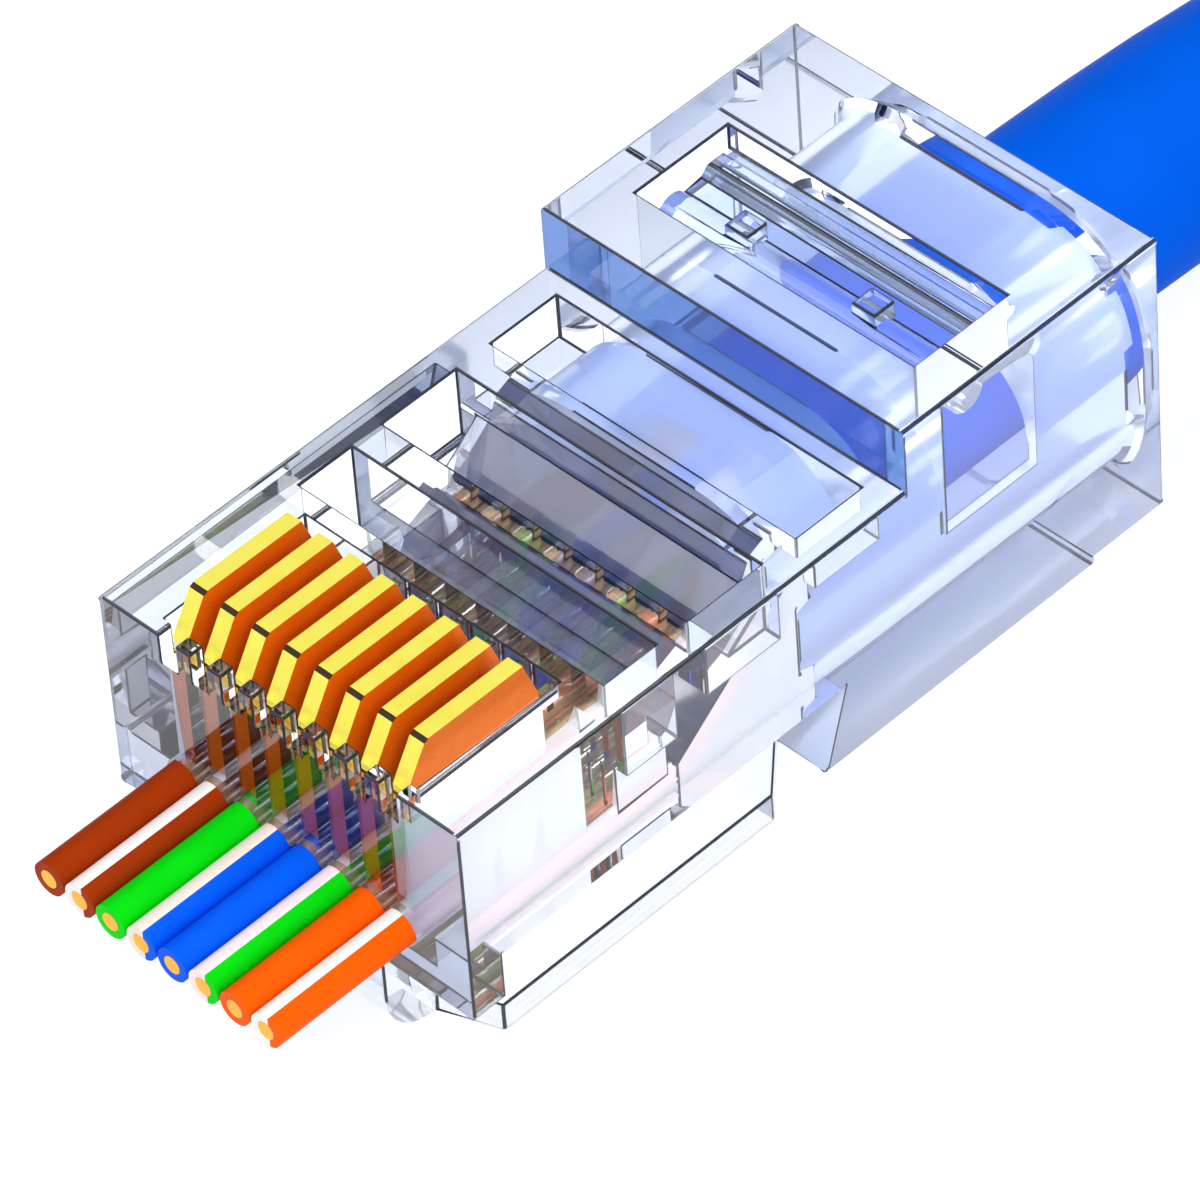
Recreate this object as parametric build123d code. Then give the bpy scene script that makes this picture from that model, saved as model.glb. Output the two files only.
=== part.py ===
from build123d import *
import math
import os

# A clear pass-through modular plug on a data cable, loaded with its eight wires and not yet crimped.
# The nose is at the -Y end, the cable leaves at +Y and the gold contacts face up.
# Inside the functions y runs back from the nose face and z up from the nose's underside.
# Every piece is moved as one into the part's frame when it is written. Sizes are in millimetres.

# Housing, outside
body_width = 11.68
nose_height = 6.08
front_length = 14.63
rear_length = 8.63
rear_step = 1.90  # the rear block's top above the front's
rear_drop = 0.85  # the rear block's underside below the nose's
heel_length = 2.46  # the raised stretch at the back of that underside
heel_rise = 0.22
side_skirt_height = 1.40  # underside of the long side walls
lip_depth = 1.00  # the full-height lip at the nose
arch_lead = 2.30  # the rear block's front corner ahead of the step in the top
arch_slant = 0.75
keel_width = 8.50  # the lower box under the wires, between the side walls
keel_height = 0.50
edge_radius = 0.12

# Contacts
pin_count = 8
pin_pitch = 1.02
contact_thickness = 0.46
contact_clearance = 0.04
contact_front = 0.62  # the blade's front edge behind the nose face
contact_length = 4.00
contact_crown_height = 6.95
contact_crown_start = 1.10
contact_crown_end = 4.20
contact_toe_forward = 0.21  # the toe reaches this far ahead of the blade
contact_toe_height = 5.80
contact_toe_depth = 0.55  # from the toe down to the notch under it
tooth_count = 3
tooth_gap = 0.52
tooth_height = 1.55
tooth_clearance = 0.10  # the points above the insulation

# Wires
wire_gap = 0.08
wire_axis_height = 1.57
wire_overhang = 4.28  # what stands out of the nose
conductor_diameter = 0.50
conductor_clearance = 0.01
bore_clearance = 0.06
bend_radius = 1.10
merge_start = 7.90  # behind this the wires rise from the row into two layers
merge_length = 2.30
spread_length = 2.90
bundle_squeeze = 0.48  # the row's width inside the jacket, as a share of the row's width at the nose
funnel_lead = 0.40  # the funnel round the wires starts this far ahead of their rise

# Cable
cable_diameter = 5.50
cable_axis_height = 3.00
jacket_start = 13.40
strip_depth = 1.00
jacket_wall = 0.45
cavity_clearance = 0.05
cavity_width = 8.30
cavity_corner = 2.20
cavity_front = 11.60
mouth_chamfer = 0.45

# Contact pocket and the windows in the top
pocket_margin = 0.32  # beside the first and last contact
pocket_wall = 0.45
pocket_floor_height = 5.20
comb_start = 5.60
comb_length = 1.70
comb_height = 3.40
comb_rib = 0.26
core_start = 8.30
core_length = 2.45
core_floor_height = 4.00
core_skin = 0.30  # the plastic left over the wires' funnel in that window
jacket_window_start = 11.90
jacket_window_length = 2.20
jacket_skin = 0.15  # the vault left over the jacket in that window
window_width = 9.86

# Strain relief clamp
clamp_window_start = 16.45
clamp_window_length = 3.15
clamp_window_width = 9.00
clamp_side_gap = 0.15
clamp_pivot_height = 6.90
clamp_pivot_radius = 0.36
clamp_reach = 1.95
clamp_bar_radius = 0.55
clamp_plate_thickness = 0.50
clamp_ledge_length = 0.80
clamp_ledge_rise = 0.30
nib_spacing = 4.10
nib_width = 0.75
nib_depth = 0.70
nib_rise = 0.50

# Latch
latch_pivot_back = 1.70
latch_pivot_height = 0.30
latch_neck_radius = 0.40
latch_neck_width = 2.60
latch_drop = 5.05  # the latch's underside below the nose's
latch_thickness = 0.85
latch_plate_start = 3.40
latch_plate_width = 6.00
latch_shoulder_back = 12.50
latch_tab_width = 3.25
latch_tab_length = 3.20
latch_tab_lift = 0.95
latch_bend_radius = 0.60
hinge_clearance = 0.05

# Free cable, worked out on the surface that the latch stands on
coil_turns = 1.5
coil_mid_radius = 26.5
coil_spacing = 5.60
coil_back = 37.0  # the coil's centre behind the housing

# Worked out from the sizes above
total_length = front_length + rear_length
rear_top = nose_height + rear_step
rear_bottom = -rear_drop
pin_places = [((pin_count - 1) / 2 - n) * pin_pitch for n in range(pin_count)]
wire_diameter = pin_pitch - wire_gap
wire_bore = wire_diameter / 2 + bore_clearance
row_bottom = wire_axis_height - wire_bore
row_top = wire_axis_height + wire_bore
contact_rear = contact_front + contact_length
contact_shoulder_height = contact_toe_height - contact_toe_depth
cavity_floor = cable_axis_height - cable_diameter / 2 - cavity_clearance
cavity_top = cable_axis_height + cable_diameter / 2 + 2 * cavity_clearance
layer_offset = pin_pitch / 2
merge_end = merge_start + merge_length
spread_end = merge_end + spread_length
wire_end = jacket_start + strip_depth
clamp_window_end = clamp_window_start + clamp_window_length
clamp_pivot_back = clamp_window_end - clamp_pivot_radius / 2
latch_top = latch_thickness - latch_drop
coil_outer_radius = coil_mid_radius + coil_turns * coil_spacing / 2
coil_inner_radius = coil_mid_radius - coil_turns * coil_spacing / 2

# The part's frame: its origin is under the middle of the plug, wires included, on the latch's underside
middle = (total_length - wire_overhang) / 2
PLACE = Pos(0, -middle, latch_drop)


def slab(width, y_from, y_to, z_from, z_to, x=0.0):
    """A box centred on x that spans the given stretches of y and z."""
    centre = Pos(x, (y_from + y_to) / 2, (z_from + z_to) / 2)
    return centre * Box(width, y_to - y_from, z_to - z_from)


def side_profile(points, width, x=0.0):
    """A closed side view, drawn with (y, z) points, made as wide as asked about x."""
    outline = make_face(Polyline(*points, close=True))
    return Pos(x, 0, 0) * extrude(Plane.YZ * outline, width / 2, both=True)


def rod_along_x(radius, width, y, z):
    return Pos(0, y, z) * Rot(0, 90, 0) * Cylinder(radius, width)


def rod_along_y(radius, y_from, y_to, x, z):
    return Pos(x, (y_from + y_to) / 2, z) * Rot(90, 0, 0) * Cylinder(radius, y_to - y_from)


def outer_shell():
    """The moulding's outside: a low front, a taller rear block, a nose lip and a keel under the wires."""
    arch_y = front_length - arch_lead
    side_view = [
        (0, 0),
        (lip_depth, 0),
        (lip_depth, side_skirt_height),
        (arch_y, side_skirt_height),
        (arch_y - arch_slant, rear_bottom),
        (total_length - heel_length, rear_bottom),
        (total_length - heel_length, rear_bottom + heel_rise),
        (total_length, rear_bottom + heel_rise),
        (total_length, rear_top),
        (front_length, rear_top),
        (front_length, nose_height),
        (0, nose_height),
    ]
    shell = side_profile(side_view, body_width)
    outside = [e for e in shell.edges().filter_by(Axis.Y) if abs(abs(e.center().X) - body_width / 2) < 0.01]
    shell = fillet(outside, edge_radius)
    return shell + slab(keel_width, lip_depth, arch_y, keel_height, side_skirt_height)


def wire_funnel(skin=0.0):
    """The room behind the bores in which the wires rise to the cable, or that room with a skin over it."""
    row_width = (pin_count - 1) * pin_pitch + 2 * wire_bore
    funnel_start = merge_start - funnel_lead
    room = [
        (funnel_start, row_bottom),
        (cavity_front + mouth_chamfer, row_bottom),
        (cavity_front + mouth_chamfer, cavity_top - cavity_corner / 4),
        (cavity_front, cavity_top - cavity_corner / 4),
        (funnel_start, row_top),
    ]
    return Pos(0, 0, skin) * side_profile(room, row_width + 2 * skin)


def wire_passages():
    """Eight bores side by side through the nose, which open into a funnel towards the cable."""
    passages = wire_funnel()
    for x in pin_places:
        passages += rod_along_y(wire_bore, -1, merge_start + bore_clearance, x, wire_axis_height)
    return passages


def across_cable(y):
    """The plane across the cable at y, centred on the cavity's section."""
    return Plane(origin=(0, y, (cavity_top + cavity_floor) / 2), x_dir=(1, 0, 0), z_dir=(0, -1, 0))


def cavity_section():
    return RectangleRounded(cavity_width, cavity_top - cavity_floor, cavity_corner)


def cable_cavity():
    """The rounded tunnel that takes the jacket, chamfered at its mouth."""
    mouth = across_cable(total_length)
    tunnel = extrude(mouth * cavity_section(), total_length - cavity_front)
    widened = offset(cavity_section(), mouth_chamfer)
    return tunnel + loft([mouth * widened, mouth.offset(mouth_chamfer) * cavity_section()])


def contact_pocket():
    """The recess that bares the contacts, with a slot and a notch in the nose's wall for each blade."""
    width = (pin_count - 1) * pin_pitch + contact_thickness + 2 * pocket_margin
    slot_width = contact_thickness + 2 * contact_clearance
    back = contact_rear + contact_clearance
    above = nose_height + 1
    pocket = slab(width, pocket_wall, back + pocket_margin, pocket_floor_height, above)
    for x in pin_places:
        pocket += slab(slot_width, contact_front - contact_clearance, back, wire_axis_height, above, x)
        pocket += slab(slot_width, -1, contact_front, pocket_floor_height, above, x)
    return pocket


def core_window():
    """The opening over the spreading wires, down to a flat floor that steps up over the funnel."""
    opening = slab(window_width, core_start, core_start + core_length, core_floor_height, nose_height + 1)
    return opening - wire_funnel(core_skin)


def jacket_window():
    """The opening over the jacket's end, down to a thin vault that follows the tunnel."""
    end = jacket_window_start + jacket_window_length
    vault = across_cable(end + 1) * offset(cavity_section(), jacket_skin)
    opening = slab(window_width, jacket_window_start, end, cavity_top - cavity_corner / 2, nose_height + 1)
    return opening - extrude(vault, jacket_window_length + 2)


def top_windows():
    """Three openings in the top: over the comb, over the spreading wires and over the jacket's end."""
    above = nose_height + 1
    comb_end = comb_start + comb_length
    windows = slab(window_width, comb_start, comb_end, comb_height, above)
    for x in pin_places:
        windows += slab(pin_pitch - comb_rib, comb_start, comb_end, wire_axis_height, above, x)
    return windows + core_window() + jacket_window()


def clamp_window():
    """The window over the jacket that holds the clamp, with the groove that the clamp's hinge turns in."""
    opening = slab(clamp_window_width, clamp_window_start, clamp_window_end, cable_axis_height, rear_top + 1)
    groove_radius = clamp_pivot_radius + hinge_clearance
    return opening + rod_along_x(groove_radius, clamp_window_width, clamp_pivot_back, clamp_pivot_height)


def latch_seat():
    """The groove under the keel that the latch's neck turns in."""
    radius = latch_neck_radius + hinge_clearance
    width = latch_neck_width + 2 * hinge_clearance
    return rod_along_x(radius, width, latch_pivot_back, latch_pivot_height)


def housing():
    shell = outer_shell()
    for make_cut in (wire_passages, cable_cavity, contact_pocket, top_windows, clamp_window, latch_seat):
        shell -= make_cut()
    return shell


def contact(x):
    """A stamped blade: a flat crown with a sloping toe, and piercing teeth along its lower edge."""
    tooth_tip = wire_axis_height + wire_diameter / 2 + tooth_clearance
    head = [
        (contact_front, contact_shoulder_height),
        (contact_front - contact_toe_forward, contact_toe_height - contact_toe_forward),
        (contact_front - contact_toe_forward, contact_toe_height),
        (contact_crown_start, contact_crown_height),
        (contact_crown_end, contact_crown_height),
        (contact_rear, contact_toe_height),
        (contact_rear, contact_shoulder_height),
    ]
    blade = side_profile(head, contact_thickness, x)
    tooth_pitch = contact_length / tooth_count
    gap_top = tooth_tip + tooth_height
    blade += slab(contact_thickness, contact_front, contact_rear, gap_top, contact_shoulder_height, x)
    for n in range(tooth_count):
        left = contact_front + n * tooth_pitch
        right = left + tooth_pitch
        first, last = n == 0, n == tooth_count - 1
        tooth = [
            (left, gap_top),
            (left if first else left + tooth_gap / 2, tooth_tip),
            (right if last else right - tooth_gap / 2, tooth_tip),
            (right, gap_top),
        ]
        tooth = side_profile(tooth, contact_thickness, x)
        corners = [e for e in tooth.edges().filter_by(Axis.X) if e.center().Z < tooth_tip + 0.01]
        blade += fillet(corners, tooth_gap / 2)
    return blade


def wire_path(n):
    """From the tip in front of the nose back through the bore, up into its layer and in to the bundle."""
    x = pin_places[n]
    layer = cable_axis_height + (layer_offset if n % 2 == 0 else -layer_offset)
    bundled_x = x * bundle_squeeze
    points = [
        (x, -wire_overhang, wire_axis_height),
        (x, merge_start, wire_axis_height),
        (x, merge_end, layer),
        (bundled_x, spread_end, layer),
        (bundled_x, wire_end, layer),
    ]
    return FilletPolyline(*points, radius=bend_radius)


def along(path, section):
    start = Plane(origin=path @ 0, z_dir=path % 0)
    return sweep(start * section, path=path)


def insulation(n):
    bore = conductor_diameter / 2 + conductor_clearance
    return along(wire_path(n), Circle(wire_diameter / 2) - Circle(bore))


def conductor(n):
    return along(wire_path(n), Circle(conductor_diameter / 2))


def jacket_end():
    """The cable's jacket inside the housing, stripped back at its inner end to let the wires out."""
    jacket = rod_along_y(cable_diameter / 2, jacket_start, total_length, 0, cable_axis_height)
    bore = cable_diameter / 2 - jacket_wall
    return jacket - rod_along_y(bore, jacket_start - 1, wire_end, 0, cable_axis_height)


def clamp_bar():
    """The strain relief clamp: a hinged plate with a round pressing edge and two nibs for the tool."""
    width = clamp_window_width - 2 * clamp_side_gap
    front = clamp_pivot_back - clamp_reach
    plate_top = clamp_pivot_height + clamp_plate_thickness / 2
    ledge_back = clamp_pivot_back - clamp_pivot_radius / 2
    ledge_front = ledge_back - clamp_ledge_length
    bar = slab(width, front, clamp_pivot_back, plate_top - clamp_plate_thickness, plate_top)
    bar += rod_along_x(clamp_bar_radius, width, front, clamp_pivot_height - clamp_bar_radius / 4)
    bar += rod_along_x(clamp_pivot_radius, width, clamp_pivot_back, clamp_pivot_height)
    ledge = [
        (ledge_front, plate_top),
        (ledge_front + clamp_ledge_rise, plate_top + clamp_ledge_rise),
        (ledge_back, plate_top + clamp_ledge_rise),
        (ledge_back, plate_top),
    ]
    bar += side_profile(ledge, width)
    for side in (-1, 1):
        nib_front = front - nib_depth / 4
        bar += slab(nib_width, nib_front, nib_front + nib_depth, clamp_pivot_height, plate_top + nib_rise,
                    side * nib_spacing / 2)
    return bar


def latch():
    """The release latch: a narrow neck down from the keel, a wide plate, two shoulders and a thumb tab."""
    bottom = -latch_drop
    neck_front = latch_pivot_back - latch_neck_radius
    neck_back = latch_pivot_back + latch_neck_radius
    tab_end = latch_shoulder_back + latch_tab_length
    side_view = [
        (neck_front, latch_pivot_height),
        (neck_front, bottom),
        (latch_shoulder_back, bottom),
        (tab_end, bottom + latch_tab_lift),
        (tab_end, bottom + latch_tab_lift + latch_thickness * 0.8),
        (latch_shoulder_back, latch_top),
        (neck_back, latch_top),
        (neck_back, latch_pivot_height),
    ]
    spring = side_profile(side_view, latch_plate_width)
    across = spring.edges().filter_by(Axis.X)
    inner_bend = across.sort_by_distance((0, neck_back, latch_top))[0]
    spring = fillet(inner_bend, latch_bend_radius)
    outer_bend = spring.edges().filter_by(Axis.X).sort_by_distance((0, neck_front, bottom))[0]
    spring = fillet(outer_bend, latch_bend_radius + latch_thickness)
    half_neck, half_plate, half_tab = latch_neck_width / 2, latch_plate_width / 2, latch_tab_width / 2
    right = [
        (half_neck, neck_front - 1),
        (half_neck, latch_plate_start - (half_plate - half_neck) / 3),
        (half_plate, latch_plate_start),
        (half_plate, latch_shoulder_back),
        (half_tab, latch_shoulder_back + latch_tab_length / 2),
        (half_tab, tab_end + 1),
    ]
    plan = right + [(-x, y) for x, y in reversed(right)]
    below = Pos(0, 0, bottom - 1) * make_face(Polyline(*plan, close=True))
    spring &= extrude(below, nose_height + latch_drop)
    return spring + rod_along_x(latch_neck_radius, latch_neck_width, latch_pivot_back, latch_pivot_height)


def cable_route():
    """The free cable's points, from the housing's mouth down to the surface and on to the coil's edge."""
    floor_height = cable_diameter / 2 - latch_drop
    return [
        (0, total_length, cable_axis_height),
        (0, total_length + 9.0, cable_axis_height),
        (0, total_length + 18.5, cable_axis_height - 2.7),
        (0, total_length + 28.0, floor_height),
        (0, total_length + coil_back, floor_height),
    ]


def bend_radii(points):
    """For each corner of a route, 0.45 of its shorter run over the tangent of half its turn."""
    radii = []
    for before, corner, after in zip(points, points[1:], points[2:]):
        run_in = Vector(*corner) - Vector(*before)
        run_out = Vector(*after) - Vector(*corner)
        half_turn = math.radians(run_in.get_angle(run_out)) / 2
        radii.append(0.45 * min(run_in.length, run_out.length) / math.tan(half_turn))
    return radii


def free_cable():
    points = cable_route()
    radii = bend_radii(points)
    print("bend radii", [round(r, 1) for r in radii])
    path = FilletPolyline(*points, radius=radii)
    tube = along(path, Circle(cable_diameter / 2))
    section = math.pi * cable_diameter**2 / 4
    print("tube length", round(path.length, 2), "volume over section", round(tube.volume / section, 2))
    return tube


def cable_coil():
    """The outer shape of the put-away turns: a flat ring, with a channel where the cable runs onto it."""
    half = cable_diameter / 2
    y = total_length + coil_back
    z = half - latch_drop
    width = coil_outer_radius - coil_inner_radius + cable_diameter
    section = RectangleRounded(width, cable_diameter, half * 0.98)
    ring = revolve(Plane.XZ * Pos(coil_mid_radius, 0) * section, Axis.Z)
    room = half + cavity_clearance
    channel = rod_along_y(room, y - coil_outer_radius, y, 0, z)
    channel += slab(2 * room, y - coil_outer_radius, y, z, z + cable_diameter)
    return Pos(coil_outer_radius, y, z) * ring - channel


def write(node, solid):
    export_step(PLACE * solid, f"parts/{node}.step")


os.makedirs("parts", exist_ok=True)
write("housing", housing())
write("latch", latch())
write("clamp_bar", clamp_bar())
write("jacket_end", jacket_end())
for n in range(pin_count):
    write(f"contact_{n + 1}", contact(pin_places[n]))
    write(f"wire_{n + 1}", insulation(n))
    write(f"conductor_{n + 1}", conductor(n))
write("cable", free_cable())
write("cable_coil", cable_coil())
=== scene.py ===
import math

import bpy
from mathutils import Matrix, Vector


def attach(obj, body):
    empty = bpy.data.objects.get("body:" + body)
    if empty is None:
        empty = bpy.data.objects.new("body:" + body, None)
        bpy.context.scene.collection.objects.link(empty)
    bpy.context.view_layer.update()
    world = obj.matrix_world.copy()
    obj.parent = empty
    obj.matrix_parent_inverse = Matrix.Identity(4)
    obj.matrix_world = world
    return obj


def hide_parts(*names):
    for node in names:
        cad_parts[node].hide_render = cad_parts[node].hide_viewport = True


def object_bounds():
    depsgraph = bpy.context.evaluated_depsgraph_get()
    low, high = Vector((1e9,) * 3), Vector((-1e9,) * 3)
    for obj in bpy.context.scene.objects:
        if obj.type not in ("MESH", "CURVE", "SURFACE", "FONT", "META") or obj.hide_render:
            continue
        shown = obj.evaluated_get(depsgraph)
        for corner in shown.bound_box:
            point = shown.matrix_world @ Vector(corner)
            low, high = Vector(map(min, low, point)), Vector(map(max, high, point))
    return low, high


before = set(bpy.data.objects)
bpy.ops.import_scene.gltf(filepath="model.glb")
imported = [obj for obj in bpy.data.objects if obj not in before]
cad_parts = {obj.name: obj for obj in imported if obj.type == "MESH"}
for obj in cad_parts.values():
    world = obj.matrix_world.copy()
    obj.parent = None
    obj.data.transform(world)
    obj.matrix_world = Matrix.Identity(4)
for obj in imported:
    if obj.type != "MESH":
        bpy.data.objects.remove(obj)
cad_low, cad_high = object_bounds()

# Sizes are in metres unless a name says otherwise. The origin is under the plug, on the floor.
MM = 0.001
PIN_COUNT = 8
PIN_PITCH = 1.02 * MM

# The camera that the photograph was taken with, worked out from the housing's corners
CAMERA_PLACE = Vector((126.33, -114.74, 176.13)) * MM
CAMERA_YAW = math.radians(47.577)
CAMERA_PITCH = math.radians(44.637)
CAMERA_ROLL = math.radians(-4.516)
CAMERA_LENS_MM = 308.7
SENSOR_MM = 36.0
CAMERA_CLIP = (0.01, 10)

# The light and the floor. The lifts are the light that the floor gives off itself, to straight and
# mirrored looks and to looks through the plastic.
WORLD_STRENGTH = 0.86
KEY_WATTS = 1.3
KEY_PLACE = (0.28, -0.20, 0.32)
KEY_SIZE = 0.25
FILL_WATTS = 0.5
FILL_PLACE = (-0.20, -0.15, 0.35)
FILL_SIZE = 0.30
FLOOR_REACH = 3.0
FLOOR_LIFT = 0.36
FLOOR_LIFT_THROUGH_PLASTIC = 0.62
# The sky is brightest in this direction and darkest opposite to it
BRIGHT_SIDE = Vector((0.42, -0.20, 0.88)).normalized()
WHITE = (1, 1, 1)
# The sky's colours, by how far a direction faces the bright side
SKY_STOPS = [
    (0.05, (0.02, 0.035, 0.10)),
    (0.35, (0.22, 0.30, 0.52)),
    (0.55, WHITE),
]
FLOOR_GREYS = ((0.74, 0.74, 0.745), (0.76, 0.76, 0.765))

# The free cable: its route down to the floor, as in the part's source, and the coil after it
CABLE_DIAMETER = 5.5 * MM
CABLE_ROUTE_MM = [
    (0, 13.77, 8.05),
    (0, 22.77, 8.05),
    (0, 32.27, 5.35),
    (0, 41.77, 2.75),
    (0, 50.77, 2.75),
]
COIL_TURNS = 1.5
COIL_OUTER_RADIUS_MM = 30.7
COIL_INNER_RADIUS_MM = 22.3
COIL_POINTS_PER_TURN = 24
# The coil rises by the strap's thickness over this part of a turn
COIL_RISE_TURNS = 0.25
# The share of the coil's length over which the direction of its end is taken
COIL_END_STEP = 0.01

# The strap that ties the coil, sunk a little into the jacket, and what the cable's cut end shows
STRAP_WIDTH = 4.0 * MM
STRAP_THICKNESS = 0.35 * MM
STRAP_ANGLE = math.radians(90)
STRAP_SINK = 0.05 * MM
STRAP_STEPS = 24
STRAP_BLACKS = ((0.010, 0.010, 0.012), (0.035, 0.035, 0.04))
JACKET_WALL = 0.45 * MM
END_ROUNDING = 0.1 * MM
END_RIM_LENGTH = 0.5 * MM
END_WIRE_LENGTH = 0.9 * MM
END_CONDUCTOR_LENGTH = 1.2 * MM
END_TIP_LENGTH = 0.05 * MM
END_WIRE_DIAMETER = 0.94 * MM
END_CONDUCTOR_DIAMETER = 0.50 * MM
END_WIRE_TAPER = 0.94
END_CONDUCTOR_TAPER = 0.9
END_RIM_SIDES = 48
END_WIRE_SIDES = 24
END_CONDUCTOR_SIDES = 16
# The pairs lie at this share of the jacket's inner radius, the first at this angle in radians
END_PAIR_SPREAD = 0.58
END_PAIR_ANGLE = 0.4
PAIR_COUNT = 4
# The pins whose insulation the wires at the cut end wear, pair by pair: a colour and a white
END_WIRE_PINS = [2, 1, 6, 3, 4, 1, 8, 3]

# Where a contact's crown bends down to its toe
KNEE_Y = -8.39 * MM
CROWN_LOW_Z = 11.9 * MM
PLATING_LOW_Z = 10.2 * MM
# The bare alloy of the contacts darkens from the crown down to the foot, a painted shade.
# The first contact's foot is pale, a painted highlight.
ALLOY_BRIGHT_Z = 12.0 * MM
ALLOY_SHADED_Z = 9.0 * MM
PALE_FOOT_Z = 10.2 * MM
PALE_END_Z = 10.8 * MM
ALLOY_BRIGHT = (1.0, 0.20, 0.004)
ALLOY_SHADED = (0.80, 0.17, 0.004)
ALLOY_PAINTED_HIGHLIGHT = (0.84, 0.80, 0.74)
ALLOY_LIT = (0.80, 0.16, 0.002)
ALLOY_WEAR = ((0.85, 0.85, 0.85), (1, 1, 1))
PLATING_GOLDS = ((1.0, 0.80, 0.07), (1.0, 0.95, 0.16))
# The painted dark line of shade across each contact's knee
KNEE_SHADE_BROWNS = ((0.012, 0.004, 0.001), (0.04, 0.012, 0.002))
COPPER_TONES = ((0.95, 0.34, 0.02), (1.0, 0.50, 0.05))

# The clear plastic. Colours are scene-linear.
EDGE_WIDTH = 0.055 * MM
KNEE_WIDTH = 0.085 * MM
SHORTEST_SOFT_EDGE = 0.44 * MM
CLEAR_SLOT, EDGE_SLOT, FROSTED_SLOT, FUNNEL_SHADE_SLOT, NOSE_SLOT = range(5)
STEP_SLOT, NAVY_SLOT, BORE_REFLECTION_SLOT, PAINTED_LIGHT_SLOT, TOE_REFLECTION_SLOT, UNDER_SLOT = range(5, 11)
# The upright faces of the nose and of the step in the top
NOSE_FACE_Y = -9.49 * MM
STEP_FACE_Y = 5.14 * MM
# Under this height, rounded edges are painted navy, a painted shade, and faces that look down are
# the rear's underside
LOWER_EDGE_Z = 4.6 * MM
# Between these heights the jacket rests against the tunnel's foot, and its blue is painted there
# dark, a painted reflection
JACKET_REST_Z = (5.30 * MM, 6.00 * MM)
# The middle facets of the rounded edges along the sides, by their place and how they face sideways
ROUNDED_EDGE_X = 5.70 * MM
ROUNDED_EDGE_FACING = (0.25, 0.90)
# A normal with less than the first along an axis is square to it, one with more than the second
# points straight along it
ASIDE = 0.05
STRAIGHT = 0.99
# Faces and edges closer to a wanted place than this lie on it
NEAR = 0.01 * MM
SHARP_ANGLE = math.radians(35)
# Vertices share a place where their coordinates round to the same one of these steps
STEPS_PER_METRE = 1e7
# Boxes round the faces of the wires' bores, of their funnel and of the cable's tunnel, with their
# slots, whose colours paint light and shade: the bores show a painted reflection of the wires and
# contacts, the funnel is dark with painted shade, and the frosted tunnel is lavender blue, a
# painted reflection of the jacket. The outer sides of the bores and of the funnel are pale, painted
# light, so that the housing's side walls stay light, and the slots in front of the contacts' toes
# are golden, a painted reflection of the toes.
PASSAGES = [
    (Vector((-4.25, -9.50, 6.00)) * MM, Vector((4.25, -1.60, 7.25)) * MM, BORE_REFLECTION_SLOT),
    (Vector((-4.30, -2.10, 5.20)) * MM, Vector((4.30, 2.60, 10.95)) * MM, FUNNEL_SHADE_SLOT),
    (Vector((-4.30, 2.00, 5.20)) * MM, Vector((4.30, 13.70, 10.95)) * MM, FROSTED_SLOT),
    (Vector((3.60, -9.50, 5.20)) * MM, Vector((4.30, 2.60, 10.95)) * MM, PAINTED_LIGHT_SLOT),
    (Vector((-4.30, -9.50, 5.20)) * MM, Vector((-3.60, 2.60, 10.95)) * MM, PAINTED_LIGHT_SLOT),
    (Vector((-4.40, -9.48, 8.60)) * MM, Vector((4.40, -8.20, 11.10)) * MM, TOE_REFLECTION_SLOT),
]
# The slots that the contacts stand in. Their many short edges are left plain.
CONTACT_SLOTS = (Vector((-4.60, -9.60, 7.00)) * MM, Vector((4.60, -3.00, 11.10)) * MM)

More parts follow.
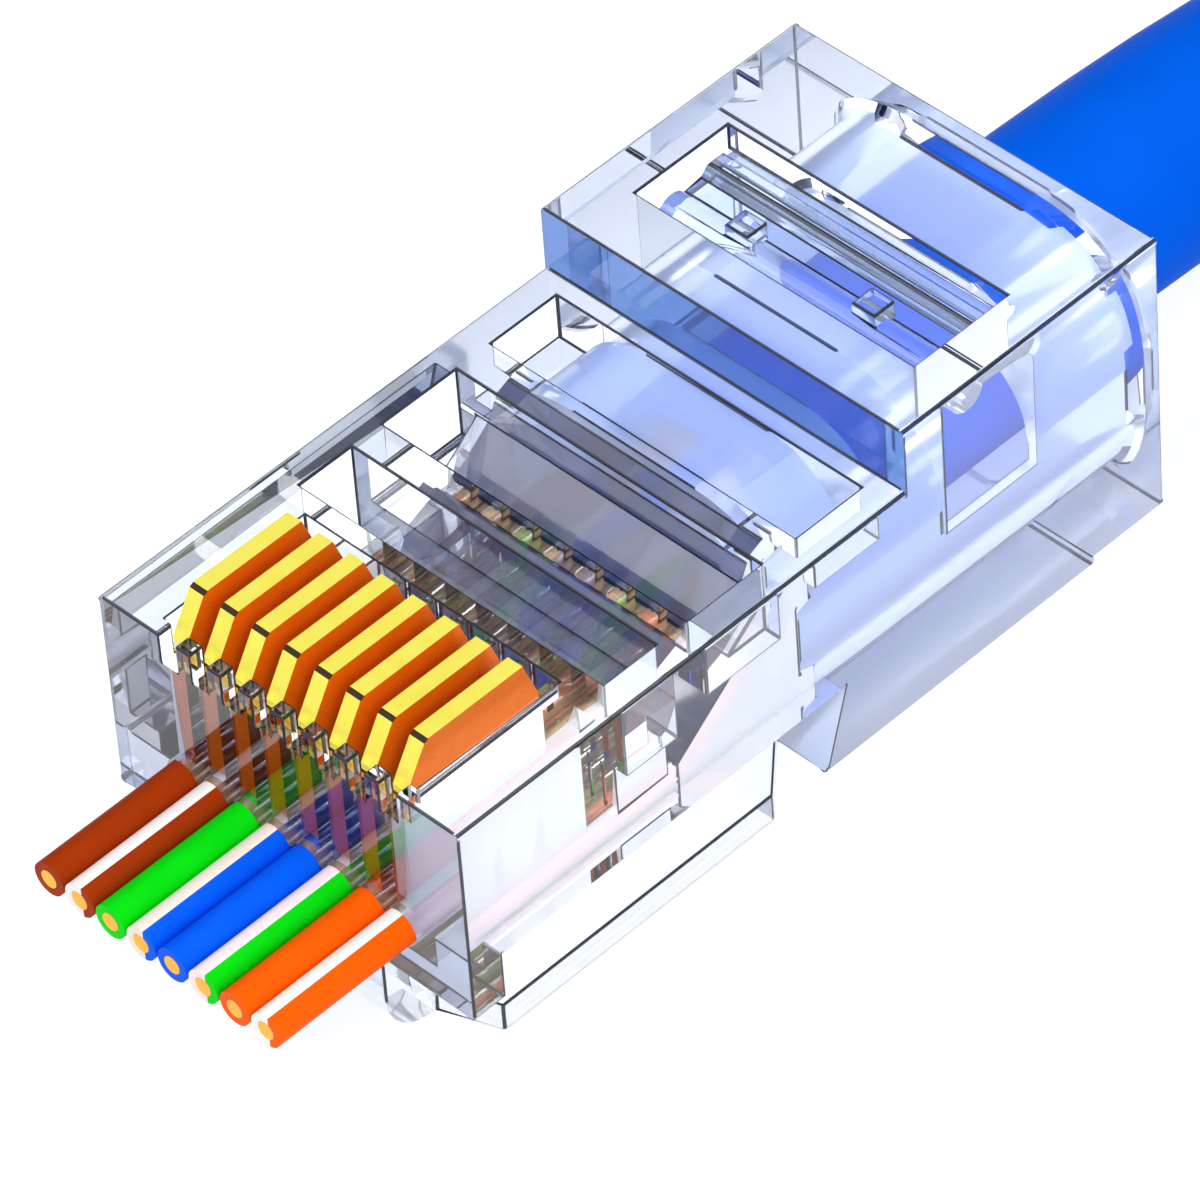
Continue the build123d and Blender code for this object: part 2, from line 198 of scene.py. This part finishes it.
# The housing's plastics in slot order, then those of the moving pieces. Each has its colour low
# down and high up, its clarity, its roughness and the tint of its shadow. Darker low down is
# painted shade, and most of the colours paint light and shade onto the clear plastic.
HOUSING_PLASTICS = {
    "clear_plastic": ((0.90, 0.93, 0.975), (0.97, 0.98, 0.99), 1.0, 0.0, (0.94, 0.95, 0.97)),
    # Painted shade: near-black lines on the rounded edges of the housing, latch and clamp bar
    "painted_dark_edge": ((0.004, 0.006, 0.012), (0.010, 0.012, 0.02), 0.35, 0.1, (0.5, 0.5, 0.55)),
    # Frosted, and painted lavender blue: a painted reflection of the jacket in the tunnel
    "frosted_painted_blue": ((0.44, 0.55, 0.88), (0.54, 0.65, 0.94), 0.45, 0.2, (0.90, 0.92, 0.95)),
    # Painted shade: the funnel round the wires is dark
    "funnel_painted_shade": ((0.02, 0.03, 0.07), (0.08, 0.09, 0.17), 0.38, 0.1, (0.80, 0.82, 0.88)),
    # Painted shade: the nose's upright face goes dark navy low down
    "nose_face": ((0.02, 0.05, 0.17), (0.44, 0.47, 0.58), 1.0, 0.0, (0.85, 0.87, 0.92)),
    # Painted shade: the step's upright face is dark blue
    "step_face": ((0.02, 0.09, 0.38), (0.035, 0.12, 0.48), 0.6, 0.05, (0.85, 0.87, 0.92)),
    # Painted shade on the lower rounded edges, and a painted dark reflection of the jacket's blue
    # where it rests
    "navy_edge": ((0.001, 0.006, 0.12), (0.002, 0.010, 0.18), 0.2, 0.1, (0.5, 0.5, 0.6)),
    # Painted reflection of the wires and contacts in their bores
    "bores_painted_reflection": ((0.56, 0.36, 0.18), (0.68, 0.48, 0.28), 0.60, 0.1, (0.85, 0.83, 0.80)),
    # Painted light: the pale outer sides of the bores and funnel keep the side walls light
    "walls_painted_light": ((0.76, 0.80, 0.86), (0.84, 0.87, 0.92), 0.25, 0.2, (0.90, 0.92, 0.95)),
    # Painted reflection of the contacts' toes in the slots in front of them
    "slots_painted_toe_reflection": ((0.72, 0.36, 0.03), (0.90, 0.55, 0.08), 0.3, 0.15, (0.90, 0.85, 0.75)),
    "rear_underside": ((0.80, 0.85, 0.93), (0.86, 0.90, 0.95), 0.50, 0.15, (0.90, 0.92, 0.95)),
}
MOVING_PLASTICS = {
    "hazy_plastic": ((0.84, 0.88, 0.94), (0.92, 0.94, 0.98), 0.80, 0.05, (0.92, 0.93, 0.96)),
    # Painted reflection of the blue jacket that the clamp bar presses on
    "clamp_painted_blue": ((0.46, 0.58, 0.90), (0.70, 0.80, 0.98), 0.9, 0.05, (0.92, 0.93, 0.96)),
}

# The insulation's colours, and the one of each pin's wire
WIRE_COLOURS = {
    "orange": (0.98, 0.115, 0.0006),
    "green": (0.001, 0.70, 0.005),
    "blue": (0.0005, 0.11, 0.88),
    "brown": (0.35, 0.034, 0.001),
}
PIN_COLOURS = ["orange", "orange", "green", "blue", "blue", "green", "brown", "brown"]
# The light half of the striped wires, by pin
STRIPE_WHITES = {
    1: (0.84, 0.86, 0.80),
    3: (0.92, 0.76, 0.78),
    5: (0.84, 0.75, 0.66),
    7: (0.86, 0.83, 0.79),
}
STRIPE_EDGE = 0.10 * MM
# How dark the darker part of the insulation's mottle is
DARKER_PART = 0.80
JACKET_BLUES = ((0.0003, 0.090, 0.62), (0.0006, 0.112, 0.74))
# Low, so that the dull insulation and jacket take little white from the sky
SOFT_PLASTIC_IOR = 1.14
POLYCARBONATE_IOR = 1.50
BUMP_STRENGTH = 0.3


def node_tree(name):
    """A new material, with its nodes, its links and its main shader."""
    material = bpy.data.materials.new(name)
    material.use_nodes = True
    nodes, links = material.node_tree.nodes, material.node_tree.links
    return material, nodes, links, nodes["Principled BSDF"]


def object_noise(nodes, links, scale, detail=3.0):
    """A noise texture fixed to the object, for small changes of colour and roughness."""
    where = nodes.new("ShaderNodeTexCoord")
    noise = nodes.new("ShaderNodeTexNoise")
    noise.inputs["Scale"].default_value = scale
    noise.inputs["Detail"].default_value = detail
    links.new(where.outputs["Object"], noise.inputs["Vector"])
    return noise


def spread_over(nodes, links, source, low, high, source_low=0, source_high=1):
    """Maps a value between the source's limits onto a range."""
    mapper = nodes.new("ShaderNodeMapRange")
    mapper.inputs["From Min"].default_value = source_low
    mapper.inputs["From Max"].default_value = source_high
    mapper.inputs["To Min"].default_value = low
    mapper.inputs["To Max"].default_value = high
    links.new(source, mapper.inputs["Value"])
    return mapper.outputs["Result"]


def add_bump(nodes, links, shader, source, distance):
    """Gives a shader's surface a fine relief of that height."""
    bump = nodes.new("ShaderNodeBump")
    bump.inputs["Distance"].default_value = distance
    bump.inputs["Strength"].default_value = BUMP_STRENGTH
    links.new(source, bump.inputs["Height"])
    links.new(bump.outputs["Normal"], shader.inputs["Normal"])


def two_tones(nodes, links, source, dark, light):
    """A colour between two, where the source is 0 and where it is 1."""
    mix = nodes.new("ShaderNodeMix")
    mix.data_type = "RGBA"
    mix.inputs["A"].default_value = (*dark, 1)
    mix.inputs["B"].default_value = (*light, 1)
    links.new(source, mix.inputs["Factor"])
    return mix.outputs["Result"]


def maths(nodes, links, operation, *values):
    """The result of a math node. Each value is a socket or a number."""
    node = nodes.new("ShaderNodeMath")
    node.operation = operation
    for socket, value in zip(node.inputs, values):
        if isinstance(value, float):
            socket.default_value = value
        else:
            links.new(value, socket)
    return node.outputs["Value"]


def object_place(nodes, links):
    """The object's own coordinates, as the sockets X, Y and Z."""
    where = nodes.new("ShaderNodeTexCoord")
    split = nodes.new("ShaderNodeSeparateXYZ")
    links.new(where.outputs["Object"], split.inputs["Vector"])
    return split.outputs


def plastic(name, dark, light, clarity, roughness, shadow_tint):
    """Moulded polycarbonate, clear or frosted, with painted light and shade in its colour. It lets
    light through to the wires.
    """
    material, nodes, links, shader = node_tree(name)
    output = nodes["Material Output"]
    shader.inputs["IOR"].default_value = POLYCARBONATE_IOR
    shader.inputs["Transmission Weight"].default_value = clarity
    shader.inputs["Roughness"].default_value = roughness
    # Painted shade: each plastic's colour runs from its low colour at the floor to its high colour
    # at the housing's top
    rise = spread_over(nodes, links, object_place(nodes, links)["Z"], 0, 1, 0, cad_high[2])
    links.new(two_tones(nodes, links, rise, dark, light), shader.inputs["Base Color"])
    clear = nodes.new("ShaderNodeBsdfTransparent")
    clear.inputs["Color"].default_value = (*shadow_tint, 1)
    path = nodes.new("ShaderNodeLightPath")
    mix = nodes.new("ShaderNodeMixShader")
    links.new(path.outputs["Is Shadow Ray"], mix.inputs["Fac"])
    links.new(shader.outputs["BSDF"], mix.inputs[1])
    links.new(clear.outputs["BSDF"], mix.inputs[2])
    links.new(mix.outputs["Shader"], output.inputs["Surface"])
    return material


def is_inside(points, low, high):
    """True if all points lie between a box's low and high corners."""
    return all(low[axis] < point[axis] < high[axis] for point in points for axis in range(3))


def line_passages(mesh):
    """Gives the faces of the bores, the funnel and the tunnel their own materials, which carry
    painted light and shade.
    """
    for face in mesh.polygons:
        corners = [mesh.vertices[i].co for i in face.vertices]
        for low, high, slot in PASSAGES:
            if is_inside(corners, low, high):
                # Painted reflection: where the jacket rests, the tunnel's faces are painted a dark
                # navy
                rests = slot == FROSTED_SLOT and JACKET_REST_Z[0] < face.center.z < JACKET_REST_Z[1]
                face.material_index = NAVY_SLOT if rests else slot


def line_outer_edges(mesh):
    """Gives the painted dark edge line, navy low down, to the middle facets of the housing's long
    rounded outer edges.
    """
    for face in mesh.polygons:
        sideways, along = abs(face.normal.x), abs(face.normal.y)
        slanted = ROUNDED_EDGE_FACING[0] < sideways < ROUNDED_EDGE_FACING[1]
        if along < ASIDE and slanted and abs(face.center.x) > ROUNDED_EDGE_X:
            face.material_index = NAVY_SLOT if face.center.z < LOWER_EDGE_Z else EDGE_SLOT


def shade_flat_faces(mesh):
    """Gives the faces of the nose and of the step their painted shade, and those of the rear
    underside their own material.
    """
    for face in mesh.polygons:
        if -face.normal.z > STRAIGHT and face.center.z < LOWER_EDGE_Z:
            face.material_index = UNDER_SLOT
        for y, slot in ((NOSE_FACE_Y, NOSE_SLOT), (STEP_FACE_Y, STEP_SLOT)):
            if -face.normal.y > STRAIGHT and abs(face.center.y - y) < NEAR:
                face.material_index = slot


def edge_key(mesh, edge):
    """An edge's two places, the same for every face that ends there."""
    return frozenset(tuple(round(c * STEPS_PER_METRE) for c in mesh.vertices[i].co) for i in edge)


def mark_sharp_edges(mesh, shortest, wanted):
    """Gives a bevel weight of 1 to the wanted long edges where two faces meet at a sharp angle."""
    facing = {}
    for face in mesh.polygons:
        for edge in face.edge_keys:
            facing.setdefault(edge_key(mesh, edge), []).append(face.normal.copy())
    weight = mesh.attributes.new("bevel_weight_edge", "FLOAT", "EDGE")
    for edge in mesh.edges:
        first, second = (mesh.vertices[i].co for i in edge.vertices)
        normals = facing[edge_key(mesh, edge.vertices)]
        sharp = len(normals) == 2 and normals[0].angle(normals[1]) > SHARP_ANGLE
        long_enough = (first - second).length > shortest
        if sharp and long_enough and (wanted is None or wanted(first, second)):
            weight.data[edge.index].value = 1.0


def soften_edges(node, width, edge_material, wanted=None):
    """Rounds a CAD node's sharp edges a little, and gives the rounding its own material, a painted
    dark line of shade.
    """
    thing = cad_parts[node]
    thing.data.materials.append(edge_material)
    mark_sharp_edges(thing.data, SHORTEST_SOFT_EDGE, wanted)
    weld = thing.modifiers.new("weld", "WELD")
    weld.merge_threshold = 1 / STEPS_PER_METRE
    bevel = thing.modifiers.new("soft edges", "BEVEL")
    bevel.width = width
    bevel.segments = 2
    bevel.limit_method = "WEIGHT"
    bevel.use_clamp_overlap = False
    bevel.harden_normals = True
    bevel.material = EDGE_SLOT


def is_knee(first, second):
    """True for the edge across a contact where its crown bends down into its toe."""
    across = abs(first.y - second.y) < NEAR
    return across and abs(first.y - KNEE_Y) < NEAR and first.z > CROWN_LOW_Z


def is_outline(first, second):
    """True for the housing's edges outside the contacts' slots."""
    return not is_inside((first, second), *CONTACT_SLOTS)


def gold(name, foot_colour, foot_z, bright_colour, bright_z):
    """Gold plating on the crown and toe, and bare copper alloy on the blade's sides and below."""
    material, nodes, links, shader = node_tree(name)
    shader.inputs["Metallic"].default_value = 0.3
    shader.inputs["Specular IOR Level"].default_value = 0.15
    geometry = nodes.new("ShaderNodeNewGeometry")
    facing = nodes.new("ShaderNodeSeparateXYZ")
    links.new(geometry.outputs["True Normal"], facing.inputs["Vector"])
    height = object_place(nodes, links)["Z"]
    noise = object_noise(nodes, links, scale=1800)
    plate = two_tones(nodes, links, noise.outputs["Fac"], *PLATING_GOLDS)
    # Painted shade: the alloy darkens from its bright colour down to the foot's colour, which on
    # the first contact is a painted highlight instead
    rise = spread_over(nodes, links, height, 0, 1, foot_z, bright_z)
    shade = two_tones(nodes, links, rise, foot_colour, bright_colour)
    worn = two_tones(nodes, links, noise.outputs["Fac"], *ALLOY_WEAR)
    alloy = nodes.new("ShaderNodeMix")
    alloy.data_type, alloy.blend_type = "RGBA", "MULTIPLY"
    alloy.inputs["Factor"].default_value = 1
    links.new(shade, alloy.inputs["A"])
    links.new(worn, alloy.inputs["B"])
    sideways = maths(nodes, links, "ABSOLUTE", facing.outputs["X"])
    below = maths(nodes, links, "LESS_THAN", height, PLATING_LOW_Z)
    mix = nodes.new("ShaderNodeMix")
    mix.data_type = "RGBA"
    links.new(maths(nodes, links, "MAXIMUM", sideways, below), mix.inputs["Factor"])
    links.new(plate, mix.inputs["A"])
    links.new(alloy.outputs["Result"], mix.inputs["B"])
    links.new(mix.outputs["Result"], shader.inputs["Base Color"])
    roughness = spread_over(nodes, links, noise.outputs["Fac"], low=0.22, high=0.38)
    links.new(roughness, shader.inputs["Roughness"])
    add_bump(nodes, links, shader, noise.outputs["Fac"], distance=0.004 * MM)
    return material


def painted_knee_shade():
    """A painted dark line of shade across a contact's knee."""
    material, nodes, links, shader = node_tree("painted_knee_shade")
    shader.inputs["Metallic"].default_value = 0.2
    shader.inputs["Roughness"].default_value = 0.6
    noise = object_noise(nodes, links, scale=3000, detail=1.0)
    tone = two_tones(nodes, links, noise.outputs["Fac"], *KNEE_SHADE_BROWNS)
    links.new(tone, shader.inputs["Base Color"])
    return material


def copper():
    """Bare copper, mottled a little."""
    material, nodes, links, shader = node_tree("bare_copper")
    shader.inputs["Metallic"].default_value = 1.0
    noise = object_noise(nodes, links, scale=2500)
    tone = two_tones(nodes, links, noise.outputs["Fac"], *COPPER_TONES)
    links.new(tone, shader.inputs["Base Color"])
    roughness = spread_over(nodes, links, noise.outputs["Fac"], low=0.25, high=0.45)
    links.new(roughness, shader.inputs["Roughness"])
    return material


def insulation(pin):
    """Soft insulation in its pair's colour. The first wire of a pair is half white, on its left."""
    material, nodes, links, shader = node_tree(f"insulation_{pin}")
    base = WIRE_COLOURS[PIN_COLOURS[pin - 1]]
    noise = object_noise(nodes, links, scale=900)
    dark = [DARKER_PART * c for c in base]
    colour = two_tones(nodes, links, noise.outputs["Fac"], dark, base)
    if pin in STRIPE_WHITES:
        across = object_place(nodes, links)["X"]
        left = maths(nodes, links, "LESS_THAN", across, pin_x(pin) + STRIPE_EDGE)
        mix = nodes.new("ShaderNodeMix")
        mix.data_type = "RGBA"
        mix.inputs["B"].default_value = (*STRIPE_WHITES[pin], 1)
        links.new(left, mix.inputs["Factor"])
        links.new(colour, mix.inputs["A"])
        colour = mix.outputs["Result"]
    links.new(colour, shader.inputs["Base Color"])
    shader.inputs["IOR"].default_value = SOFT_PLASTIC_IOR
    roughness = spread_over(nodes, links, noise.outputs["Fac"], low=0.40, high=0.55)
    links.new(roughness, shader.inputs["Roughness"])
    add_bump(nodes, links, shader, noise.outputs["Fac"], distance=0.01 * MM)
    return material


def jacket():
    """The cable's smooth blue jacket."""
    material, nodes, links, shader = node_tree("blue_jacket")
    noise = object_noise(nodes, links, scale=500)
    tone = two_tones(nodes, links, noise.outputs["Fac"], *JACKET_BLUES)
    links.new(tone, shader.inputs["Base Color"])
    shader.inputs["IOR"].default_value = SOFT_PLASTIC_IOR
    shader.inputs["Specular IOR Level"].default_value = 0.15
    roughness = spread_over(nodes, links, noise.outputs["Fac"], low=0.45, high=0.6)
    links.new(roughness, shader.inputs["Roughness"])
    add_bump(nodes, links, shader, noise.outputs["Fac"], distance=0.02 * MM)
    return material


def pin_x(pin):
    """The x of a wire and its contact. The first pin is at the +X side."""
    return ((PIN_COUNT + 1) / 2 - pin) * PIN_PITCH


def dress(node, material):
    """Gives a CAD node its material."""
    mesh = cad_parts[node].data
    mesh.materials.clear()
    mesh.materials.append(material)


def make_camera():
    """The photograph's camera."""
    forward = Vector((-math.sin(CAMERA_YAW) * math.cos(CAMERA_PITCH),
                      math.cos(CAMERA_YAW) * math.cos(CAMERA_PITCH), -math.sin(CAMERA_PITCH)))
    level_right = forward.cross(Vector((0, 0, 1))).normalized()
    level_up = level_right.cross(forward)
    right = level_right * math.cos(CAMERA_ROLL) + level_up * math.sin(CAMERA_ROLL)
    up = level_up * math.cos(CAMERA_ROLL) - level_right * math.sin(CAMERA_ROLL)
    data = bpy.data.cameras.new("camera")
    data.lens, data.sensor_width = CAMERA_LENS_MM, SENSOR_MM
    data.clip_start, data.clip_end = CAMERA_CLIP
    camera = bpy.data.objects.new("camera", data)
    turn = Matrix((right, up, -forward)).transposed().to_4x4()
    camera.matrix_world = Matrix.Translation(CAMERA_PLACE) @ turn
    bpy.context.scene.collection.objects.link(camera)
    bpy.context.scene.camera = camera


def coil_point(share):
    """A point of the put-away turns, a flat spiral from the end of the route inwards."""
    start = Vector(CABLE_ROUTE_MM[-1])
    centre = start + Vector((COIL_OUTER_RADIUS_MM, 0, 0))
    angle = math.pi - share * COIL_TURNS * math.tau
    radius = COIL_OUTER_RADIUS_MM + (COIL_INNER_RADIUS_MM - COIL_OUTER_RADIUS_MM) * share
    lift = STRAP_THICKNESS / MM * min(1, share * COIL_TURNS / COIL_RISE_TURNS)
    return centre + Vector((radius * math.cos(angle), radius * math.sin(angle), lift))


def lathe(name, rings, sides, material):
    """A mesh of revolution about its own z, from (radius, z) rings, closed at both ends."""
    mesh = bpy.data.meshes.new(name)
    around = [math.tau * side / sides for side in range(sides)]
    places = [(radius * math.cos(angle), radius * math.sin(angle), z)
              for radius, z in rings for angle in around]
    last = (len(rings) - 1) * sides
    faces = [(row + side, row + (side + 1) % sides,
              row + sides + (side + 1) % sides, row + sides + side)
             for row in range(0, last, sides) for side in range(sides)]
    faces.append(tuple(reversed(range(sides))))
    faces.append(tuple(last + side for side in range(sides)))
    mesh.from_pydata(places, [], faces)
    mesh.materials.append(material)
    return mesh


def add_piece(name, mesh, place):
    """Adds a mesh that rides the plug."""
    piece = bpy.data.objects.new(name, mesh)
    piece.matrix_world = place
    bpy.context.scene.collection.objects.link(piece)
    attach(piece, "plug")
    return piece


def make_cut_end(jacket_material, wire_materials, copper_material):
    """The cable's cut end: the jacket's rim and four pairs of wires, each with its conductor."""
    tip, before = coil_point(1) * MM, coil_point(1 - COIL_END_STEP) * MM
    turn = (tip - before).to_track_quat("Z", "Y").to_matrix().to_4x4()
    place = Matrix.Translation(tip) @ turn
    outer = CABLE_DIAMETER / 2
    inner = outer - JACKET_WALL
    shoulder = outer - END_ROUNDING
    rim = [
        (inner, 0),
        (shoulder, 0),
        (outer, END_ROUNDING),
        (outer, END_RIM_LENGTH - END_ROUNDING),
        (shoulder, END_RIM_LENGTH),
        (inner, END_RIM_LENGTH),
        (inner, END_ROUNDING),
    ]
    rim_mesh = lathe("cable_end_rim", rim, END_RIM_SIDES, jacket_material)
    pieces = [add_piece("cable_end_rim", rim_mesh, place)]
    for number, material in enumerate(wire_materials):
        pair_angle = math.tau * (number // 2) / PAIR_COUNT + END_PAIR_ANGLE
        side = 1 if number % 2 else -1
        middle = Vector((math.cos(pair_angle), math.sin(pair_angle), 0)) * inner * END_PAIR_SPREAD
        wire = END_WIRE_DIAMETER / 2
        core = END_CONDUCTOR_DIAMETER / 2
        across = Vector((-math.sin(pair_angle), math.cos(pair_angle), 0)) * wire * side
        where = place @ Matrix.Translation(middle + across)
        sleeve = [
            (wire, 0),
            (wire, END_WIRE_LENGTH - END_TIP_LENGTH),
            (wire * END_WIRE_TAPER, END_WIRE_LENGTH),
        ]
        copper_tip = [
            (core, 0),
            (core, END_CONDUCTOR_LENGTH - END_TIP_LENGTH),
            (core * END_CONDUCTOR_TAPER, END_CONDUCTOR_LENGTH),
        ]
        sleeve_mesh = lathe("cable_end_wire", sleeve, END_WIRE_SIDES, material)
        copper_mesh = lathe("cable_end_conductor", copper_tip, END_CONDUCTOR_SIDES, copper_material)
        pieces.append(add_piece(f"cable_end_wire_{number + 1}", sleeve_mesh, where))
        pieces.append(add_piece(f"cable_end_conductor_{number + 1}", copper_mesh, where))
    return pieces


def strap_outline(reach, gap):
    """A stadium round the two runs side by side, as (across, up) points about their middle."""
    points = []
    for step in range(2 * STRAP_STEPS + 2):
        side = 1 if step <= STRAP_STEPS else -1
        angle = math.pi * (step - (side < 0)) / STRAP_STEPS - math.pi / 2
        points.append((side * gap / 2 + reach * math.cos(angle), reach * math.sin(angle)))
    return points


def make_strap(material):
    """The strap round both runs of the coil, where they lie side by side."""
    outer_share = (math.pi - STRAP_ANGLE) / (COIL_TURNS * math.tau)
    inner_share = outer_share + 1 / COIL_TURNS
    outer_run, inner_run = coil_point(outer_share) * MM, coil_point(inner_share) * MM
    middle = (outer_run + inner_run) / 2
    middle.z = outer_run.z
    gap = (outer_run - inner_run).length
    across = (outer_run - inner_run).normalized()
    across.z = 0
    across.normalize()
    up = Vector((0, 0, 1))
    along = across.cross(up)
    reach = CABLE_DIAMETER / 2
    loops = []
    for radius in (reach - STRAP_SINK, reach + STRAP_THICKNESS):
        for end in (-STRAP_WIDTH / 2, STRAP_WIDTH / 2):
            loops.append([across * a + up * b + along * end for a, b in strap_outline(radius, gap)])
    inner_near, inner_far, outer_near, outer_far = loops
    count = len(inner_near)
    places = inner_near + inner_far + outer_far + outer_near
    rows = len(loops)
    faces = [(row * count + n, row * count + (n + 1) % count,
              (row + 1) % rows * count + (n + 1) % count, (row + 1) % rows * count + n)
             for row in range(rows) for n in range(count)]
    mesh = bpy.data.meshes.new("coil_strap")
    mesh.from_pydata(places, [], faces)
    mesh.materials.append(material)
    return add_piece("coil_strap", mesh, Matrix.Translation(middle))


def make_cable(material, with_pieces):
    """The free cable as one curve, from the housing's back to the end of the coil."""
    steps = round(COIL_TURNS * COIL_POINTS_PER_TURN)
    points = [Vector(place) for place in CABLE_ROUTE_MM]
    points += [coil_point(step / steps) for step in range(1, steps + 1)]
    data = bpy.data.curves.new("free_cable", "CURVE")
    data.dimensions = "3D"
    spline = data.splines.new("NURBS")
    spline.points.add(len(points) - 1)
    for point, place in zip(spline.points, points):
        point.co = (*(place * MM), 1)
    spline.order_u = 3
    spline.use_endpoint_u = True
    spline.resolution_u = 6
    data.bevel_depth = CABLE_DIAMETER / 2
    data.bevel_resolution = 8
    data.use_fill_caps = True
    cable = bpy.data.objects.new("free_cable", data)
    bpy.context.scene.collection.objects.link(cable)
    data.materials.append(material)
    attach(cable, "plug")
    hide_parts("cable", "cable_coil")


def strap_fabric():
    """The strap's dull black fabric."""
    material, nodes, links, shader = node_tree("black_strap")
    noise = object_noise(nodes, links, scale=2500, detail=2.0)
    tone = two_tones(nodes, links, noise.outputs["Fac"], *STRAP_BLACKS)
    links.new(tone, shader.inputs["Base Color"])
    shader.inputs["Roughness"].default_value = 0.8
    add_bump(nodes, links, shader, noise.outputs["Fac"], distance=0.05 * MM)
    return material


def make_floor():
    """A pale floor, lifted to white where it is seen straight, through plastic or in metal."""
    mesh = bpy.data.meshes.new("floor")
    signs = ((-1, -1), (1, -1), (1, 1), (-1, 1))
    corners = [(x * FLOOR_REACH, y * FLOOR_REACH, 0) for x, y in signs]
    mesh.from_pydata(corners, [], [(0, 1, 2, 3)])
    floor = bpy.data.objects.new("floor", mesh)
    bpy.context.scene.collection.objects.link(floor)
    material, nodes, links, shader = node_tree("pale_floor")
    noise = object_noise(nodes, links, scale=40)
    tone = two_tones(nodes, links, noise.outputs["Fac"], *FLOOR_GREYS)
    links.new(tone, shader.inputs["Base Color"])
    shader.inputs["Roughness"].default_value = 0.9
    shader.inputs["Specular IOR Level"].default_value = 0.1
    path = nodes.new("ShaderNodeLightPath")
    camera_ray, mirrored_ray = path.outputs["Is Camera Ray"], path.outputs["Is Glossy Ray"]
    direct = maths(nodes, links, "MAXIMUM", camera_ray, mirrored_ray)
    plain_lift = maths(nodes, links, "MULTIPLY", direct, FLOOR_LIFT)
    transmitted = path.outputs["Is Transmission Ray"]
    plastic_lift = maths(nodes, links, "MULTIPLY", transmitted, FLOOR_LIFT_THROUGH_PLASTIC)
    lift = maths(nodes, links, "MAXIMUM", plain_lift, plastic_lift)
    shader.inputs["Emission Color"].default_value = (*WHITE, 1)
    links.new(lift, shader.inputs["Emission Strength"])
    mesh.materials.append(material)


def make_world():
    """A soft studio, white on its bright side, and cool and dark opposite to draw the edges."""
    world = bpy.data.worlds.new("studio")
    bpy.context.scene.world = world
    world.use_nodes = True
    nodes, links = world.node_tree.nodes, world.node_tree.links
    where = nodes.new("ShaderNodeTexCoord")
    facing = nodes.new("ShaderNodeVectorMath")
    facing.operation = "DOT_PRODUCT"
    facing.inputs[1].default_value = BRIGHT_SIDE
    links.new(where.outputs["Generated"], facing.inputs[0])
    ramp = nodes.new("ShaderNodeValToRGB")
    stops = ramp.color_ramp.elements
    for number, (position, colour) in enumerate(SKY_STOPS):
        stop = stops[number] if number < len(stops) else stops.new(position)
        stop.position = position
        stop.color = (*colour, 1)
    links.new(facing.outputs["Value"], ramp.inputs["Fac"])
    sky = nodes["Background"]
    links.new(ramp.outputs["Color"], sky.inputs["Color"])
    sky.inputs["Strength"].default_value = WORLD_STRENGTH
    backdrop = nodes.new("ShaderNodeBackground")
    backdrop.inputs["Color"].default_value = (*WHITE, 1)
    path = nodes.new("ShaderNodeLightPath")
    mix = nodes.new("ShaderNodeMixShader")
    links.new(path.outputs["Is Camera Ray"], mix.inputs["Fac"])
    links.new(sky.outputs["Background"], mix.inputs[1])
    links.new(backdrop.outputs["Background"], mix.inputs[2])
    links.new(mix.outputs["Shader"], nodes["World Output"].inputs["Surface"])


def make_light(name, place, size, power):
    """A round soft light, aimed at the plug."""
    data = bpy.data.lights.new(name, "AREA")
    data.shape, data.size, data.energy = "DISK", size, power
    light = bpy.data.objects.new(name, data)
    light.location = place
    light.rotation_euler = (-Vector(place)).to_track_quat("-Z", "Y").to_euler()
    bpy.context.scene.collection.objects.link(light)


make_camera()
blue_jacket = jacket()
housing_plastics = [plastic(name, *look) for name, look in HOUSING_PLASTICS.items()]
latch_plastic, clamp_painted_blue = (plastic(name, *look) for name, look in MOVING_PLASTICS.items())
for node, look, wanted in (
    ("housing", housing_plastics[CLEAR_SLOT], is_outline),
    ("latch", latch_plastic, None),
    ("clamp_bar", clamp_painted_blue, None),
):
    dress(node, look)
    soften_edges(node, EDGE_WIDTH, housing_plastics[EDGE_SLOT], wanted)
housing_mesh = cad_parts["housing"].data
for extra in housing_plastics[FROSTED_SLOT:]:
    housing_mesh.materials.append(extra)
line_passages(housing_mesh)
line_outer_edges(housing_mesh)
shade_flat_faces(housing_mesh)
dress("jacket_end", blue_jacket)
gold_plate = gold("gold_contact", ALLOY_SHADED, ALLOY_SHADED_Z, ALLOY_BRIGHT, ALLOY_BRIGHT_Z)
# The first contact's pale foot is a painted highlight
painted_highlight_foot = gold("gold_contact_pale_foot", ALLOY_PAINTED_HIGHLIGHT, PALE_FOOT_Z, ALLOY_LIT, PALE_END_Z)
bare_copper, knee = copper(), painted_knee_shade()
wire_colours = {pin: insulation(pin) for pin in range(1, PIN_COUNT + 1)}
for pin in range(1, PIN_COUNT + 1):
    dress(f"contact_{pin}", painted_highlight_foot if pin == 1 else gold_plate)
    soften_edges(f"contact_{pin}", KNEE_WIDTH, knee, is_knee)
    dress(f"conductor_{pin}", bare_copper)
    dress(f"wire_{pin}", wire_colours[pin])
cut_end = make_cut_end(blue_jacket, [wire_colours[pin] for pin in END_WIRE_PINS], bare_copper)
make_cable(blue_jacket, [*cut_end, make_strap(strap_fabric())])
make_floor()
make_world()
make_light("key", KEY_PLACE, KEY_SIZE, KEY_WATTS)
make_light("fill", FILL_PLACE, FILL_SIZE, FILL_WATTS)

bpy.context.scene.view_settings.view_transform = "Standard"
